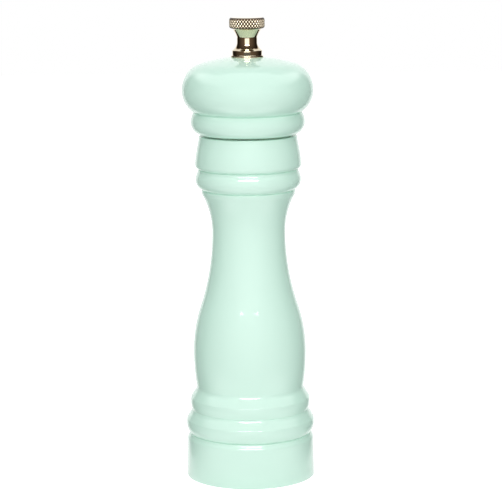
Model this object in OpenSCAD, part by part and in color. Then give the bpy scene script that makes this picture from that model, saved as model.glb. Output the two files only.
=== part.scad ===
// Pepper mill: a turned and lacquered body and head round a steel burr mill.
// +Z is up, and the origin is at the centre of the foot. All sizes are in millimetres.

/* [Foot] */
// Diameter of the foot at the table
foot_d = 56.6; // [54:0.1:62]
// Diameter of the foot's wall at its top edge
foot_top_d = 55.9; // [54:0.1:62]
// Height of the foot's wall, up to where its top edge rounds over
foot_h = 15.8; // [14:0.1:24]
// Rounding of the edge that stands on the table
foot_edge_r = 0.6; // [0.2:0.1:1.5]

/* [Body beads] */
// Diameter at the groove above the foot
foot_groove_d = 54.4; // [50:0.1:58]
// Height from the foot's wall up to that groove
foot_groove_rise = 3.5; // [2:0.1:6]
// Diameter of the lower bead
lower_bead_d = 56.6; // [52:0.1:62]
// Height from the groove above the foot up to the lower bead's crest
lower_bead_rise = 4.7; // [3:0.1:8]
// Diameter at the groove between the two beads
bead_groove_d = 51.7; // [46:0.1:54]
// Height from the lower bead's crest up to that groove
bead_groove_rise = 5.9; // [4:0.1:8]
// Diameter of the upper bead
upper_bead_d = 52.7; // [48:0.1:58]
// Height from the groove between the beads up to the upper bead's crest
upper_bead_rise = 3.6; // [2:0.1:6]
// Diameter at the groove under the belly
belly_groove_d = 46.8; // [42:0.1:50]
// Height from the upper bead's crest up to that groove
belly_groove_rise = 6.3; // [4:0.1:9]

/* [Body waist] */
// Diameter of the belly
belly_d = 49.9; // [46:0.1:58]
// Height from the groove under the belly up to the belly's crest
belly_rise = 16.2; // [10:0.1:24]
// Diameter of the waist
waist_d = 32.3; // [31:0.1:40]
// Height from the belly's crest up to the waist
waist_rise = 53.5; // [40:0.5:80]
// Diameter at the quirk where the waist's sweep ends
quirk_d = 40.6; // [36:0.1:44]
// Height from the waist up to the quirk
quirk_rise = 17; // [12:0.1:24]

/* [Body neck] */
// Diameter of the neck bead
neck_bead_d = 46.3; // [42:0.1:52]
// Height from the quirk up to the neck bead's crest
neck_bead_rise = 6; // [4:0.1:9]
// Diameter at the groove above the neck bead
neck_groove_d = 44.2; // [40:0.1:48]
// Height from the neck bead's crest up to that groove
neck_groove_rise = 4.2; // [3:0.1:6]
// Diameter of the collar
collar_d = 46.4; // [42:0.1:52]
// Height from the groove up to the collar's crest
collar_rise = 2.6; // [1.5:0.1:5]
// Diameter of the body's rim
rim_d = 42.7; // [38:0.1:48]
// Height from the collar's crest up to the rim
rim_rise = 12.8; // [8:0.1:20]
// Rounding of the rim's outer edge
rim_edge_r = 0.8; // [0.3:0.1:1.5]

/* [Head] */
// Diameter of the head's flat underside
head_seat_d = 42; // [36:0.1:46]
// Diameter of the head's bead
head_bead_d = 49.6; // [44:0.1:56]
// Height from the underside up to the bead's crest
head_bead_rise = 5.8; // [4:0.1:9]
// Diameter at the groove above the bead
head_groove_d = 47.9; // [42:0.1:54]
// Height from the bead's crest up to that groove
head_groove_rise = 3.5; // [2:0.1:6]
// Diameter of the cap, the widest part of the mill
cap_d = 57.6; // [52:0.1:66]
// Height from the groove up to the cap's widest place
cap_rise = 10.5; // [8:0.1:16]
// Height of the flat at the top of the cap above its widest place
crown_rise = 14.1; // [12:0.1:18]
// Diameter of the flat that the washer lies on
crown_flat_d = 15.2; // [14.8:0.1:18]
// Radius of the cap's flat dome
dome_r = 60; // [45:1:90]
// Length of the tenon that centres the head in the hopper
tenon_l = 12; // [8:0.5:20]
// Radial play between the tenon and the hopper bore
tenon_play = 0.3; // [0.2:0.05:0.5]
// Diameter of the hole that the shaft runs through
head_bore_d = 9.6; // [9.4:0.1:11]

/* [Bores in the body] */
// Diameter of the hopper bore
hopper_d = 25.4; // [24.6:0.1:27]
// Diameter of the recess under the foot
recess_d = 46; // [44:0.5:50]
// Depth of that recess
recess_h = 10; // [8.5:0.5:14]

/* [Burr] */
// Outside diameter of the stator
stator_d = 31.8; // [30:0.1:34]
// Height of the stator
stator_h = 12; // [10:0.5:15]
// Play between the stator and its counterbore, on the radius
stator_play = 0.1; // [0.02:0.01:0.2]
// Diameter of the stator's grinding cone at its lower end
mill_d = 23.2; // [22:0.1:25]
// Height of the grinding cone, from the stator's lower face to the throat
mill_h = 5; // [4:0.1:6.5]
// Slope of the grinding cone, from the axis
mill_slope = 20; // [12:1:24]
// Diameter of the stator's mouth, at its top
mouth_d = 22.4; // [21:0.1:25]
// Gap between rotor and stator at the middle setting, on the radius
grind_gap = 0.4; // [0.35:0.05:0.8]
// Height of the rotor
rotor_h = 11.8; // [10:0.1:14]
// Diameter of the rotor's top
rotor_top_d = 13.6; // [13.2:0.1:15]
// Room below the rotor for its clip and its downward travel
rotor_room = 2.2; // [2:0.1:3]
// Number of fine teeth on the rotor
rotor_teeth = 28; // [20:1:36]
// Number of fine teeth in the stator
stator_teeth = 36; // [24:1:40]
// Depth of the fine teeth
tooth_depth = 0.45; // [0.3:0.05:0.6]
// Number of feed lugs on the rotor
rotor_lugs = 5; // [4:1:6]
// Width of the gap between two lugs
lug_gap = 2.4; // [1.6:0.1:3]
// Number of feed flutes in the stator
stator_flutes = 9; // [6:1:12]
// Diameter of a feed flute
flute_d = 1.6; // [1:0.1:2]
// Slant of the feed flutes and of the lugs
feed_slant = 25; // [0:1:35]

/* [Shaft] */
// Side of the square shaft
shaft_side = 6.35; // [5.8:0.05:6.5]
// Play of the shaft in each square hole that it slides in, on each side
square_play = 0.1; // [0.05:0.01:0.15]
// Diameter of the thread, drawn plain
thread_d = 4.8; // [4:0.1:5.4]
// Length of the threaded end
thread_l = 17.5; // [15:0.5:22]
// Pitch of the thread: a full turn of the nut moves the shaft by this much
thread_pitch = 1.06; // [0.7:0.01:1.25]
// Diameter of the journal at the lower end
journal_d = 5; // [4.4:0.1:5.6]
// Running play on the radius of each round fit
running_play = 0.05; // [0.02:0.01:0.08]

/* [Shaft guide] */
// Thickness of the guide's foot ring
guide_ring_h = 2; // [1.5:0.1:3]
// Height from the foot ring's top up to the hub's underside
guide_rise = 10.5; // [8:0.1:16]
// Number of legs
guide_legs = 2; // [2:1:4]
// Width of a leg
leg_w = 6; // [4:0.1:7]
// Thickness of a leg and of a spoke
leg_t = 1.4; // [1:0.1:2]
// Play between the legs and the hopper bore
leg_play = 0.3; // [0.2:0.05:0.6]
// Diameter of the hub
hub_d = 15; // [14.4:0.1:17]
// Height of the hub
hub_h = 4; // [3:0.1:6]
// Outside diameter of the bush's barrel
bush_d = 11; // [10.6:0.1:12]
// Diameter of the bush's flange
bush_flange_d = 14.6; // [13.6:0.1:16]
// Thickness of the bush's flange
bush_flange_t = 1.2; // [0.8:0.1:2]
// Length of the bush's barrel above the hub
bush_stand = 0.5; // [0.2:0.1:1.5]

/* [Spring and clip] */
// Wire of the spring
wire_d = 1; // [0.8:0.05:1.2]
// Outside diameter of the spring
spring_d = 12.6; // [12:0.1:13.2]
// Number of turns
spring_turns = 5; // [3:1:6]
// Outside diameter of the clip
clip_d = 9; // [8:0.1:10]
// Thickness of the clip
clip_t = 0.6; // [0.5:0.05:0.8]
// Depth of the clip's groove in the journal
clip_groove = 0.5; // [0.3:0.05:0.7]

/* [Bar and screws] */
// Width of the retaining bar
bar_w = 10; // [8:0.5:14]
// Thickness of the retaining bar
bar_t = 1.5; // [1.2:0.1:2]
// Gap from the bar's ends to the recess wall
bar_end_play = 1; // [0.5:0.1:2]
// Diameter of the boss round the journal
bar_boss_d = 9; // [7.5:0.1:11]
// Height of that boss
bar_boss_h = 1; // [0.6:0.1:2]
// Shank diameter of the bar's screws
bar_screw_d = 2.9; // [2.5:0.1:3.5]
// Length of the bar's screws under the head
bar_screw_l = 11; // [8:0.5:12]
// Head diameter of the bar's screws
bar_screw_head_d = 5.4; // [4.8:0.1:6]
// Head height of the bar's screws
bar_screw_head_h = 1.8; // [1.4:0.1:2.2]

/* [Drive plate] */
// Diameter of the drive plate
plate_d = 23; // [22:0.1:24]
// Thickness of the drive plate
plate_t = 1.5; // [1.2:0.1:2]
// Circle that the plate's screws lie on
plate_screw_circle = 16.8; // [16.4:0.1:17.4]
// Shank diameter of the plate's screws
plate_screw_d = 2.6; // [2.2:0.1:3]
// Length of the plate's screws
plate_screw_l = 9; // [7:0.5:11]
// Head diameter of the plate's screws
plate_screw_head_d = 4.8; // [4.2:0.1:5.2]

/* [Thumb nut] */
// Diameter of the washer under the nut
washer_d = 14.2; // [13.6:0.1:15]
// Thickness of the washer
washer_t = 0.7; // [0.4:0.1:1]
// Diameter of the nut's flange
flange_d = 12.9; // [12:0.1:14]
// Height of the flange's rim
flange_h = 2.3; // [1.5:0.1:3.5]
// Height of the flare from the flange into the neck
flare_h = 1.2; // [0.8:0.1:2]
// Diameter of the neck's foot
neck_d = 8.9; // [8.5:0.1:10]
// Height of the neck
neck_h = 3.7; // [2.5:0.1:5]
// Diameter of the neck's top
neck_top_d = 8.6; // [8.2:0.1:9.6]
// Diameter of the waist, where the trumpet starts
nut_waist_d = 8.3; // [8:0.1:9.4]
// Height from the neck's top up to that waist
nut_waist_rise = 1.3; // [0.8:0.1:2]
// Diameter of the trumpet's mouth under the grip
trumpet_d = 11.4; // [10:0.1:13]
// Height of the trumpet
trumpet_h = 2.9; // [2:0.1:5]
// Height of the slope from the trumpet out to the grip
under_grip_h = 0.8; // [0.4:0.1:1.5]
// Diameter of the knurled grip
grip_d = 15.4; // [14.2:0.1:18]
// Height of the knurled grip
grip_h = 4.3; // [3.5:0.1:8]
// Rounding of the grip's edges
grip_edge = 0.5; // [0.3:0.1:0.8]
// Wall left above the blind threaded hole
nut_roof = 2.6; // [2:0.1:4]

/* [Hidden] */
$fn = 96;

// Finishes
lacquer = "#b8e2d0";
nickel = "#cfc8b8";
steel = "#9a9da1";
dark_steel = "#6e7073";
aluminium = "#c9ccd0";
brass = "#c8a64e";

// A cut runs past the faces that it opens by this much
past = 1;
// Arcs of the turned outlines are drawn in steps of about this length
arc_step = 1.2;
// Small rounded edges are drawn in steps of this angle
edge_step = 15;

// Heights in the body, from the table up
foot_groove_z = foot_h + foot_groove_rise;
lower_bead_z = foot_groove_z + lower_bead_rise;
bead_groove_z = lower_bead_z + bead_groove_rise;
upper_bead_z = bead_groove_z + upper_bead_rise;
belly_groove_z = upper_bead_z + belly_groove_rise;
belly_z = belly_groove_z + belly_rise;
waist_z = belly_z + waist_rise;
quirk_z = waist_z + quirk_rise;
neck_bead_z = quirk_z + neck_bead_rise;
neck_groove_z = neck_bead_z + neck_groove_rise;
collar_z = neck_groove_z + collar_rise;
rim_z = collar_z + rim_rise;

// Heights in the head, which rests on the rim
head_bead_z = rim_z + head_bead_rise;
head_groove_z = head_bead_z + head_groove_rise;
cap_z = head_groove_z + cap_rise;
crown_z = cap_z + crown_rise;
tenon_d = hopper_d - 2 * tenon_play;
tenon_z = rim_z - tenon_l;
plate_z = tenon_z - plate_t;

// Heights of the burr and of the guide, from the shoulder of the recess up
rotor_z = recess_h + rotor_room;
rotor_top_z = rotor_z + rotor_h;
stator_top_z = recess_h + stator_h;
guide_top_z = stator_top_z + guide_ring_h;
hub_z = guide_top_z + guide_rise;
flange_z = hub_z - bush_flange_t;
counterbore_d = stator_d + 2 * stator_play;
square_hole = shaft_side + 2 * square_play;
journal_hole_d = journal_d + 2 * running_play;

// Heights of the nut and of the shaft's ends
nut_z = crown_z + washer_t;
flare_z = nut_z + flange_h;
neck_z = flare_z + flare_h;
neck_top_z = neck_z + neck_h;
nut_waist_z = neck_top_z + nut_waist_rise;
trumpet_z = nut_waist_z + trumpet_h;
grip_z = trumpet_z + under_grip_h;
nut_top_z = grip_z + grip_h;
nut_hole_d = thread_d + 2 * running_play;
nut_hole_top = nut_top_z - nut_roof;
// The shaft may rise by this much in the nut, and still not touch its roof
shaft_end_room = 2;
shaft_top_z = nut_hole_top - shaft_end_room;
square_top_z = shaft_top_z - thread_l;
// The journal ends this much below the bar's boss, which leaves it in its hole at the finest setting
journal_below = 1.2;
bar_z = recess_h - bar_t;
journal_z = bar_z - bar_boss_h - journal_below;

// Places of the screws
bar_l = recess_d - 2 * bar_end_play;
bar_screw_x = (counterbore_d + recess_d) / 4;
screw_tip_d = 0.2;
// Width of a driver's slot, and width across a cross recess, as shares of the head's diameter
slot_share = 0.15;
cross_share = 0.6;
// Mouth of the clip, as a share of the groove's diameter that it snaps over
clip_mouth_share = 0.84;
// The feed flutes start this far above the throat, so that none ends on its edge
flute_lift = flute_d / 5;

// Slope of the grinding cone as a fall in radius for each millimetre up
mill_fall = tan(mill_slope);
throat_r = mill_d / 2 - mill_h * mill_fall;
rotor_r = mill_d / 2 - rotor_room * mill_fall - grind_gap;
// Height of the rotor's fine teeth, up to the level of the throat
rotor_cone_h = mill_h - rotor_room;
rotor_neck_r = rotor_r - rotor_cone_h * mill_fall;

// A curve from a to b that is upright at both: an arc from a, and then a counter-arc into b.
// The arc from a takes the given share of the height. A share of 1 leaves an edge at b, and a
// share of 0 leaves one at a. The points run up to b, and leave out a.
function flank(a, b, share) =
    let (
        rise = b[1] - a[1],
        run = b[0] - a[0],
        turn = 2 * atan(abs(run) / rise),
        reach = rise / sin(turn),
        side = sign(run),
        ra = reach * share,
        rb = reach * (1 - share),
        na = ceil(ra * turn * PI / 180 / arc_step) + 3,
        nb = ceil(rb * turn * PI / 180 / arc_step) + 3
    )
    concat(
        [for (i = [1:na]) if (share > 0)
            [a[0] + side * ra * (1 - cos(turn * i / na)), a[1] + ra * sin(turn * i / na)]],
        [for (i = [nb - 1:-1:0]) if (share < 1)
            [b[0] - side * rb * (1 - cos(turn * i / nb)), b[1] - rb * sin(turn * i / nb)]]
    );

// An arc about c, from one angle to another
function arc(c, r, from, to, steps) =
    [for (i = [0:steps]) let (a = from + (to - from) * i / steps) c + r * [cos(a), sin(a)]];

function at(d, z) = [d / 2, z];

// The curve through a list of stations, from the lowest up. A station holds its diameter, its
// height and the share that the arc above it takes of the flank up to the next station.
function flanks(stations) =
    [for (i = [1:len(stations) - 1]) let (low = stations[i - 1], high = stations[i])
        each flank(at(low[0], low[1]), at(high[0], high[1]), low[2])];

// A small rounded edge of radius r, out from the axis to diameter d, from one angle to another
function edge(d, z, r, from, to) = arc([d / 2 - r, z], r, from, to, (to - from) / edge_step);

// Stations of the body
body_stations = [
    [foot_top_d, foot_h, 0.75],
    [foot_groove_d, foot_groove_z, 0.3],
    [lower_bead_d, lower_bead_z, 0.72],
    [bead_groove_d, bead_groove_z, 0.3],
    [upper_bead_d, upper_bead_z, 0.7],
    [belly_groove_d, belly_groove_z, 0.12],
    [belly_d, belly_z, 0.38],
    [waist_d, waist_z, 1],
    [quirk_d, quirk_z, 0.35],
    [neck_bead_d, neck_bead_z, 0.8],
    [neck_groove_d, neck_groove_z, 0.3],
    [collar_d, collar_z, 0.35],
    [rim_d, rim_z - rim_edge_r],
];

// Outline of the body from the axis at the table to the axis at the rim
body_outline = concat(
    [[0, 0]],
    edge(foot_d, foot_edge_r, foot_edge_r, -90, 0),
    [at(foot_top_d, foot_h)],
    flanks(body_stations),
    edge(rim_d, rim_z - rim_edge_r, rim_edge_r, edge_step, 90),
    [[0, rim_z]]
);

// The cap's shoulder is an arc that is upright at the cap's widest place and runs into the dome
crown_rest = sqrt(pow(dome_r, 2) - pow(crown_flat_d / 2, 2));
dome_c = crown_z - crown_rest;
shoulder_r = (pow(dome_r, 2) - pow(cap_d / 2, 2) - pow(cap_z - dome_c, 2)) / (2 * dome_r - cap_d);
shoulder_turn = atan((cap_z - dome_c) / (cap_d / 2 - shoulder_r));
crown_turn = acos(crown_flat_d / 2 / dome_r);

// Stations of the head
head_stations = [
    [head_seat_d, rim_z, 0],
    [head_bead_d, head_bead_z, 0.8],
    [head_groove_d, head_groove_z, 0.1],
    [cap_d, cap_z],
];

// Outline of the head from the tenon's end to the crown
head_outline = concat(
    [[0, tenon_z], at(tenon_d, tenon_z), at(tenon_d, rim_z), at(head_seat_d, rim_z)],
    flanks(head_stations),
    arc([cap_d / 2 - shoulder_r, cap_z], shoulder_r, 0, shoulder_turn, 14),
    arc([0, dome_c], dome_r, shoulder_turn, crown_turn, 12),
    [[0, crown_z]]
);

// The flare is a quarter of an ellipse from the flange's top into the neck, inside a small chamfer
flange_edge = 0.3;
flare_w = (flange_d - neck_d) / 2 - flange_edge;
flare_arc = [for (a = [270:-edge_step:180])
    [neck_d / 2 + flare_w * (1 + cos(a)), neck_z + flare_h * sin(a)]];

// Stations of the nut's neck and trumpet
nut_stations = [
    [neck_top_d, neck_top_z, 0.4],
    [nut_waist_d, nut_waist_z, 1],
    [trumpet_d, trumpet_z],
];

// Outline of the nut from the axis at the washer to the axis at the top
nut_outline = concat(
    [[0, nut_z], at(flange_d, nut_z), at(flange_d, flare_z - flange_edge)],
    flare_arc,
    [at(neck_top_d, neck_top_z)],
    flanks(nut_stations),
    edge(grip_d, grip_z + grip_edge, grip_edge, -4 * edge_step, 0),
    edge(grip_d, nut_top_z - grip_edge, grip_edge, 0, 90),
    [[0, nut_top_z]]
);

// A round hole or a round bar that stands on z
module bar(d, z, top) {
    translate([0, 0, z]) cylinder(d = d, h = top - z);
}

// Square hole for the shaft, from z up to top
module square_cut(z, top) {
    translate([-square_hole / 2, -square_hole / 2, z]) cube([square_hole, square_hole, top - z]);
}

// Copies round the axis
module around(count, first = 0) {
    for (i = [0:count - 1]) rotate([0, 0, first + i * 360 / count]) children();
}

// A three-cornered groove along the cone that has radius r at z = 0 and leans in by fall per
// millimetre up. Its corner is depth deep.
module cone_groove(r, fall, length, depth) {
    side = depth * sqrt(2);
    translate([r, 0, 0])
        rotate([0, -atan(fall), 0])
            rotate([0, 0, 45])
                translate([-side / 2, -side / 2, -past])
                    cube([side, side, length / cos(atan(fall)) + past]);
}

// The shank of a wood screw, with its head's underside at z = 0 and its point up
module screw_shank(d, l) {
    point = d;
    cylinder(d = d, h = l - point);
    translate([0, 0, l - point]) cylinder(d1 = d, d2 = screw_tip_d, h = point);
}

module mill_body() {
    color(lacquer) difference() {
        rotate_extrude() polygon(body_outline);
        bar(hopper_d, recess_h - past, rim_z + past);
        bar(counterbore_d, recess_h - past, guide_top_z);
        bar(recess_d, -past, recess_h);
        around(2) translate([bar_screw_x, 0, recess_h - past])
            cylinder(d = bar_screw_d + 2 * running_play, h = bar_screw_l - bar_t + 2 * past);
    }
}

module stator() {
    mouth_h = stator_h - mill_h;
    mouth_lean = (throat_r - mouth_d / 2) / mouth_h;
    color(dark_steel) difference() {
        bar(stator_d, recess_h, stator_top_z);
        rotate_extrude() polygon([
            [0, recess_h - past],
            [mill_d / 2 + past * mill_fall, recess_h - past],
            [throat_r, recess_h + mill_h],
            [mouth_d / 2 - past * mouth_lean, stator_top_z + past],
            [0, stator_top_z + past],
        ]);
        around(stator_teeth) translate([0, 0, recess_h])
            cone_groove(mill_d / 2, mill_fall, mill_h, tooth_depth);
        around(stator_flutes) translate([throat_r, 0, recess_h + mill_h + flute_lift])
            rotate([feed_slant, -atan(mouth_lean), 0])
                cylinder(d = flute_d, h = 2 * mouth_h);
    }
}

module shaft_guide() {
    leg_out = hopper_d / 2 - leg_play;
    leg_in = leg_out - leg_t;
    color(steel) difference() {
        union() {
            difference() {
                bar(stator_d, stator_top_z, guide_top_z);
                bar(2 * leg_in, stator_top_z - past, guide_top_z + past);
            }
            bar(hub_d, hub_z, hub_z + hub_h);
            around(guide_legs, 90) intersection() {
                translate([0, -leg_w / 2, stator_top_z])
                    cube([leg_out, leg_w, hub_z + leg_t - stator_top_z]);
                difference() {
                    bar(2 * leg_out, stator_top_z, hub_z + leg_t);
                    bar(2 * leg_in, stator_top_z - past, hub_z);
                }
            }
        }
        bar(bush_d + 2 * running_play, hub_z - past, hub_z + hub_h + past);
    }
}

module retaining_bar() {
    color(steel) difference() {
        union() {
            translate([0, 0, bar_z]) linear_extrude(bar_t) intersection() {
                circle(d = bar_l);
                square([bar_l, bar_w], center = true);
            }
            bar(bar_boss_d, bar_z - bar_boss_h, bar_z + bar_t / 2);
        }
        bar(journal_hole_d, bar_z - bar_boss_h - past, recess_h + past);
        around(2) translate([bar_screw_x, 0, bar_z - past])
            cylinder(d = bar_screw_d + 2 * running_play, h = bar_t + 2 * past);
    }
}

module retaining_bar_screws() {
    edge_r = bar_screw_head_h / 2;
    cross = [cross_share * bar_screw_head_d, slot_share * bar_screw_head_d, bar_screw_head_h];
    color(steel) around(2) translate([bar_screw_x, 0, bar_z]) {
        difference() {
            union() {
                screw_shank(bar_screw_d, bar_screw_l);
                rotate_extrude() polygon(concat(
                    [[0, -bar_screw_head_h]],
                    edge(bar_screw_head_d, edge_r - bar_screw_head_h, edge_r, -90, 0),
                    [[bar_screw_head_d / 2, 0], [0, 0]]
                ));
            }
            for (a = [0, 90]) rotate([0, 0, a])
                translate([0, 0, -bar_screw_head_h]) cube(cross, center = true);
        }
    }
}

module guide_bush() {
    color(brass) difference() {
        union() {
            bar(bush_flange_d, flange_z, hub_z);
            bar(bush_d, flange_z, hub_z + hub_h + bush_stand);
        }
        square_cut(flange_z - past, hub_z + hub_h + bush_stand + past);
    }
}

module drive_shaft() {
    groove_z = rotor_z - clip_t;
    // The thread's end has a bevel half a pitch high
    bevel = thread_pitch / 2;
    color(aluminium) difference() {
        union() {
            translate([-shaft_side / 2, -shaft_side / 2, rotor_z])
                cube([shaft_side, shaft_side, square_top_z - rotor_z]);
            bar(journal_d, journal_z, rotor_z + past);
            bar(thread_d, square_top_z - past, shaft_top_z - bevel);
            translate([0, 0, shaft_top_z - bevel])
                cylinder(d1 = thread_d, d2 = thread_d - 2 * bevel, h = bevel);
        }
        difference() {
            bar(journal_d + past, groove_z, rotor_z);
            bar(journal_d - 2 * clip_groove, groove_z - past, rotor_z + past);
        }
    }
}

module rotor() {
    lug_z = rotor_z + rotor_cone_h;
    lug_h = rotor_top_z - lug_z;
    // The gaps between the lugs are cut in this far from the foot of the lugs
    gap_depth = rotor_neck_r - rotor_top_d / 2 + tooth_depth;
    color(dark_steel) difference() {
        rotate_extrude() polygon([
            [0, rotor_z], [rotor_r, rotor_z], [rotor_neck_r, lug_z],
            [rotor_top_d / 2, rotor_top_z], [0, rotor_top_z],
        ]);
        square_cut(rotor_z - past, rotor_top_z + past);
        around(rotor_teeth) translate([0, 0, rotor_z])
            cone_groove(rotor_r, mill_fall, rotor_cone_h + past, tooth_depth);
        around(rotor_lugs) translate([rotor_neck_r - gap_depth, -lug_gap / 2, lug_z + 2 * past])
            rotate([-feed_slant, 0, 0]) cube([2 * gap_depth, lug_gap, 2 * lug_h]);
    }
}

module rotor_clip() {
    hold_d = journal_d - 2 * clip_groove + 2 * running_play;
    mouth = clip_mouth_share * hold_d;
    color(steel) translate([0, 0, rotor_z - clip_t]) linear_extrude(clip_t) difference() {
        circle(d = clip_d);
        circle(d = hold_d);
        translate([0, -mouth / 2]) square([clip_d, mouth]);
    }
}

// The spring's wire, swept along its helix from the rotor's top to the bush's flange
module spring() {
    low = rotor_top_z + wire_d / 2;
    high = flange_z - wire_d / 2;
    coil_r = (spring_d - wire_d) / 2;
    turn_steps = 16;
    sides = 8;
    rings = spring_turns * turn_steps;
    points = [for (i = [0:rings], k = [0:sides - 1])
        let (a = 360 * i / turn_steps, b = 360 * k / sides, r = coil_r + wire_d / 2 * cos(b))
        [r * cos(a), r * sin(a), low + (high - low) * i / rings + wire_d / 2 * sin(b)]];
    skin = [for (i = [0:rings - 1], k = [0:sides - 1])
        let (p = i * sides, q = (i + 1) * sides, n = (k + 1) % sides)
        [p + k, p + n, q + n, q + k]];
    color(steel) polyhedron(
        points = points,
        faces = concat(skin, [[for (k = [sides - 1:-1:0]) k], [for (k = [0:sides - 1]) rings * sides + k]])
    );
}

module head() {
    color(lacquer) difference() {
        rotate_extrude() polygon(head_outline);
        bar(head_bore_d, tenon_z - past, crown_z + past);
        around(2) translate([plate_screw_circle / 2, 0, tenon_z - past])
            cylinder(d = plate_screw_d + 2 * running_play, h = plate_screw_l - plate_t + 2 * past);
    }
}

module drive_plate() {
    sink_h = (plate_screw_head_d - plate_screw_d) / 2;
    color(steel) difference() {
        bar(plate_d, plate_z, tenon_z);
        square_cut(plate_z - past, tenon_z + past);
        around(2) translate([plate_screw_circle / 2, 0, plate_z]) {
            translate([0, 0, -past]) cylinder(d = plate_screw_d + 2 * running_play, h = plate_t + 2 * past);
            cylinder(d1 = plate_screw_head_d + 2 * running_play,
                     d2 = plate_screw_d + 2 * running_play, h = sink_h);
        }
    }
}

module drive_plate_screws() {
    sink_h = (plate_screw_head_d - plate_screw_d) / 2;
    slot = [2 * plate_screw_head_d, slot_share * plate_screw_head_d, sink_h];
    color(steel) around(2) translate([plate_screw_circle / 2, 0, plate_z]) difference() {
        union() {
            screw_shank(plate_screw_d, plate_screw_l);
            cylinder(d1 = plate_screw_head_d, d2 = plate_screw_d, h = sink_h);
        }
        cube(slot, center = true);
    }
}

module nut_washer() {
    color(nickel) difference() {
        bar(washer_d, crown_z, nut_z);
        bar(nut_hole_d, crown_z - past, nut_z + past);
    }
}

module thumb_nut() {
    color(nickel) difference() {
        rotate_extrude() polygon(nut_outline);
        bar(nut_hole_d, nut_z - past, nut_hole_top);
    }
}

mill_body();
stator();
shaft_guide();
retaining_bar();
retaining_bar_screws();
guide_bush();
drive_shaft();
rotor();
rotor_clip();
spring();
head();
drive_plate();
drive_plate_screws();
nut_washer();
thumb_nut();
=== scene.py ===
"""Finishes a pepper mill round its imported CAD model: lacquered wood, a knurled nut, a threaded
shaft, a spring and a lit stage."""

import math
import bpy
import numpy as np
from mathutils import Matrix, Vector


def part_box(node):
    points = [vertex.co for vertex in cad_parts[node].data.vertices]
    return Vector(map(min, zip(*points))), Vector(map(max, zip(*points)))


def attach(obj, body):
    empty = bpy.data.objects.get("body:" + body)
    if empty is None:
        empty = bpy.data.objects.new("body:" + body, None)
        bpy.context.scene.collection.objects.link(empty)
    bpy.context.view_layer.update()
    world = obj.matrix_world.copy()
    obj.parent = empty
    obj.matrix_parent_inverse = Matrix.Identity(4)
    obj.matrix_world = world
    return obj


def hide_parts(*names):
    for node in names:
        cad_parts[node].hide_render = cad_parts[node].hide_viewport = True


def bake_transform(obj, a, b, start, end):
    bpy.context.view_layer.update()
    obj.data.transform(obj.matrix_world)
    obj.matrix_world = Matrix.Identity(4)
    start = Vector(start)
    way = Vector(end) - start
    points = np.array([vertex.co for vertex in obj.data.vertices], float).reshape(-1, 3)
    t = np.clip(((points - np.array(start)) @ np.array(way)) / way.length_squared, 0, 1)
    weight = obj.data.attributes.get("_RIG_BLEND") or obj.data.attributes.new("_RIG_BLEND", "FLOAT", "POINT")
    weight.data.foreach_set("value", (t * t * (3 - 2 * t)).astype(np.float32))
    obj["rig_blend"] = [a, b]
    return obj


bl_info = {
    "name": "Pepper Mill",
    "version": (1, 0, 0),
    "blender": (4, 5, 0),
    "location": "View3D > Sidebar > Pepper Mill",
    "description": "Turned and lacquered pepper mill with a steel burr, a spring and a knurled nut",
    "category": "Object",
}

from collections import namedtuple

import bmesh
import bpy
from bpy.props import FloatProperty, FloatVectorProperty, IntProperty, PointerProperty
from mathutils import Matrix, Vector

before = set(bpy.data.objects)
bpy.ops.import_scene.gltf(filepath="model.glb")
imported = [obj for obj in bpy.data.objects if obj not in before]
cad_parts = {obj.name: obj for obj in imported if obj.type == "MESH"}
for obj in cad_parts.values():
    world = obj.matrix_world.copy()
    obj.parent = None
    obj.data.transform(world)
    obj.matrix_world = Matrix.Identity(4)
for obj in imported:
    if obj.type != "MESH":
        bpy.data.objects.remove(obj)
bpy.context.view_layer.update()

MM = 0.001
# An arc of a turned outline is drawn with chords no longer than this, and with no more turn than
# this between two
ARC_CHORD = 1.2 * MM
ARC_TURN = math.radians(4)
# Rows along a smooth curve, and along one of the short curves of the base
SWEEP_STEPS = 18
BEAD_STEPS = 9
# Corners of an outline that turn by more than this are rounded, with this many steps. The soft
# edges of the base beads turn by less
CORNER_TURN = math.radians(25)
ARRIS_TURN = math.radians(12)
CORNER_STEPS = 5
# The most that one rounding may take of the way to the next, so that two never meet
CORNER_SHARE = 0.45
# Edges sharper than this stay crisp in the shading
CRISP_ANGLE = math.radians(32)
# Points closer than this are one point
SAME_PLACE = 0.002 * MM
# Rows of a mesh for one turn of a thread or one diamond of a knurl, columns round each turned
# piece, and steps along one turn of the spring and round its wire
PATTERN_ROWS = 10
WOOD_COLUMNS = 224
WASHER_COLUMNS = 128
SHAFT_COLUMNS = 240
SPRING_STEPS = 48.0
WIRE_SIDES = 16

# How far the surface faces up, in degrees: on the base at the steepest place of the foot's rounding
# and of each bead's top, at the creases above them, and under and over a bead's soft edge
FOOT_TILT, LOWER_TILT, UPPER_TILT = 32, 33, 34
FOOT_CREASE_TILT, BEAD_CREASE_TILT = 12, 14
UNDER_ARRIS_TILT, OVER_ARRIS_TILT = 9, 30
# The same on the nut, from the flange's flare up to the trumpet's mouth, where it faces down
FLARE_TILT, NECK_TILT, WAIST_TILT, TRUMPET_TILT, MOUTH_TILT = 55, 1, -20, -36, -80
# Where the rounding of the grip's lower edge starts, in degrees from level
GRIP_START = -60
# Share of the rise to the next station that the round arc takes over the belly and the neck bead
BELLY_SHARE = 0.38
NECK_SHARE = 0.72
# Shares of the rim's radius at which its relief ends, the seat starts and the bare wood starts
RELIEF_SHARE, SEAT_SHARE, BARE_SHARE = 0.88, 0.87, 0.85
# How far the lacquer reaches in under the foot
LACQUER_END = 1.2 * MM

# What each row of an outline holds besides its place: how deep a pattern is cut there, whether the
# section is square, and whether the surface is bare
MARKS = {"cut": "FLOAT", "square": "FLOAT", "bare": "BOOLEAN"}


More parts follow.
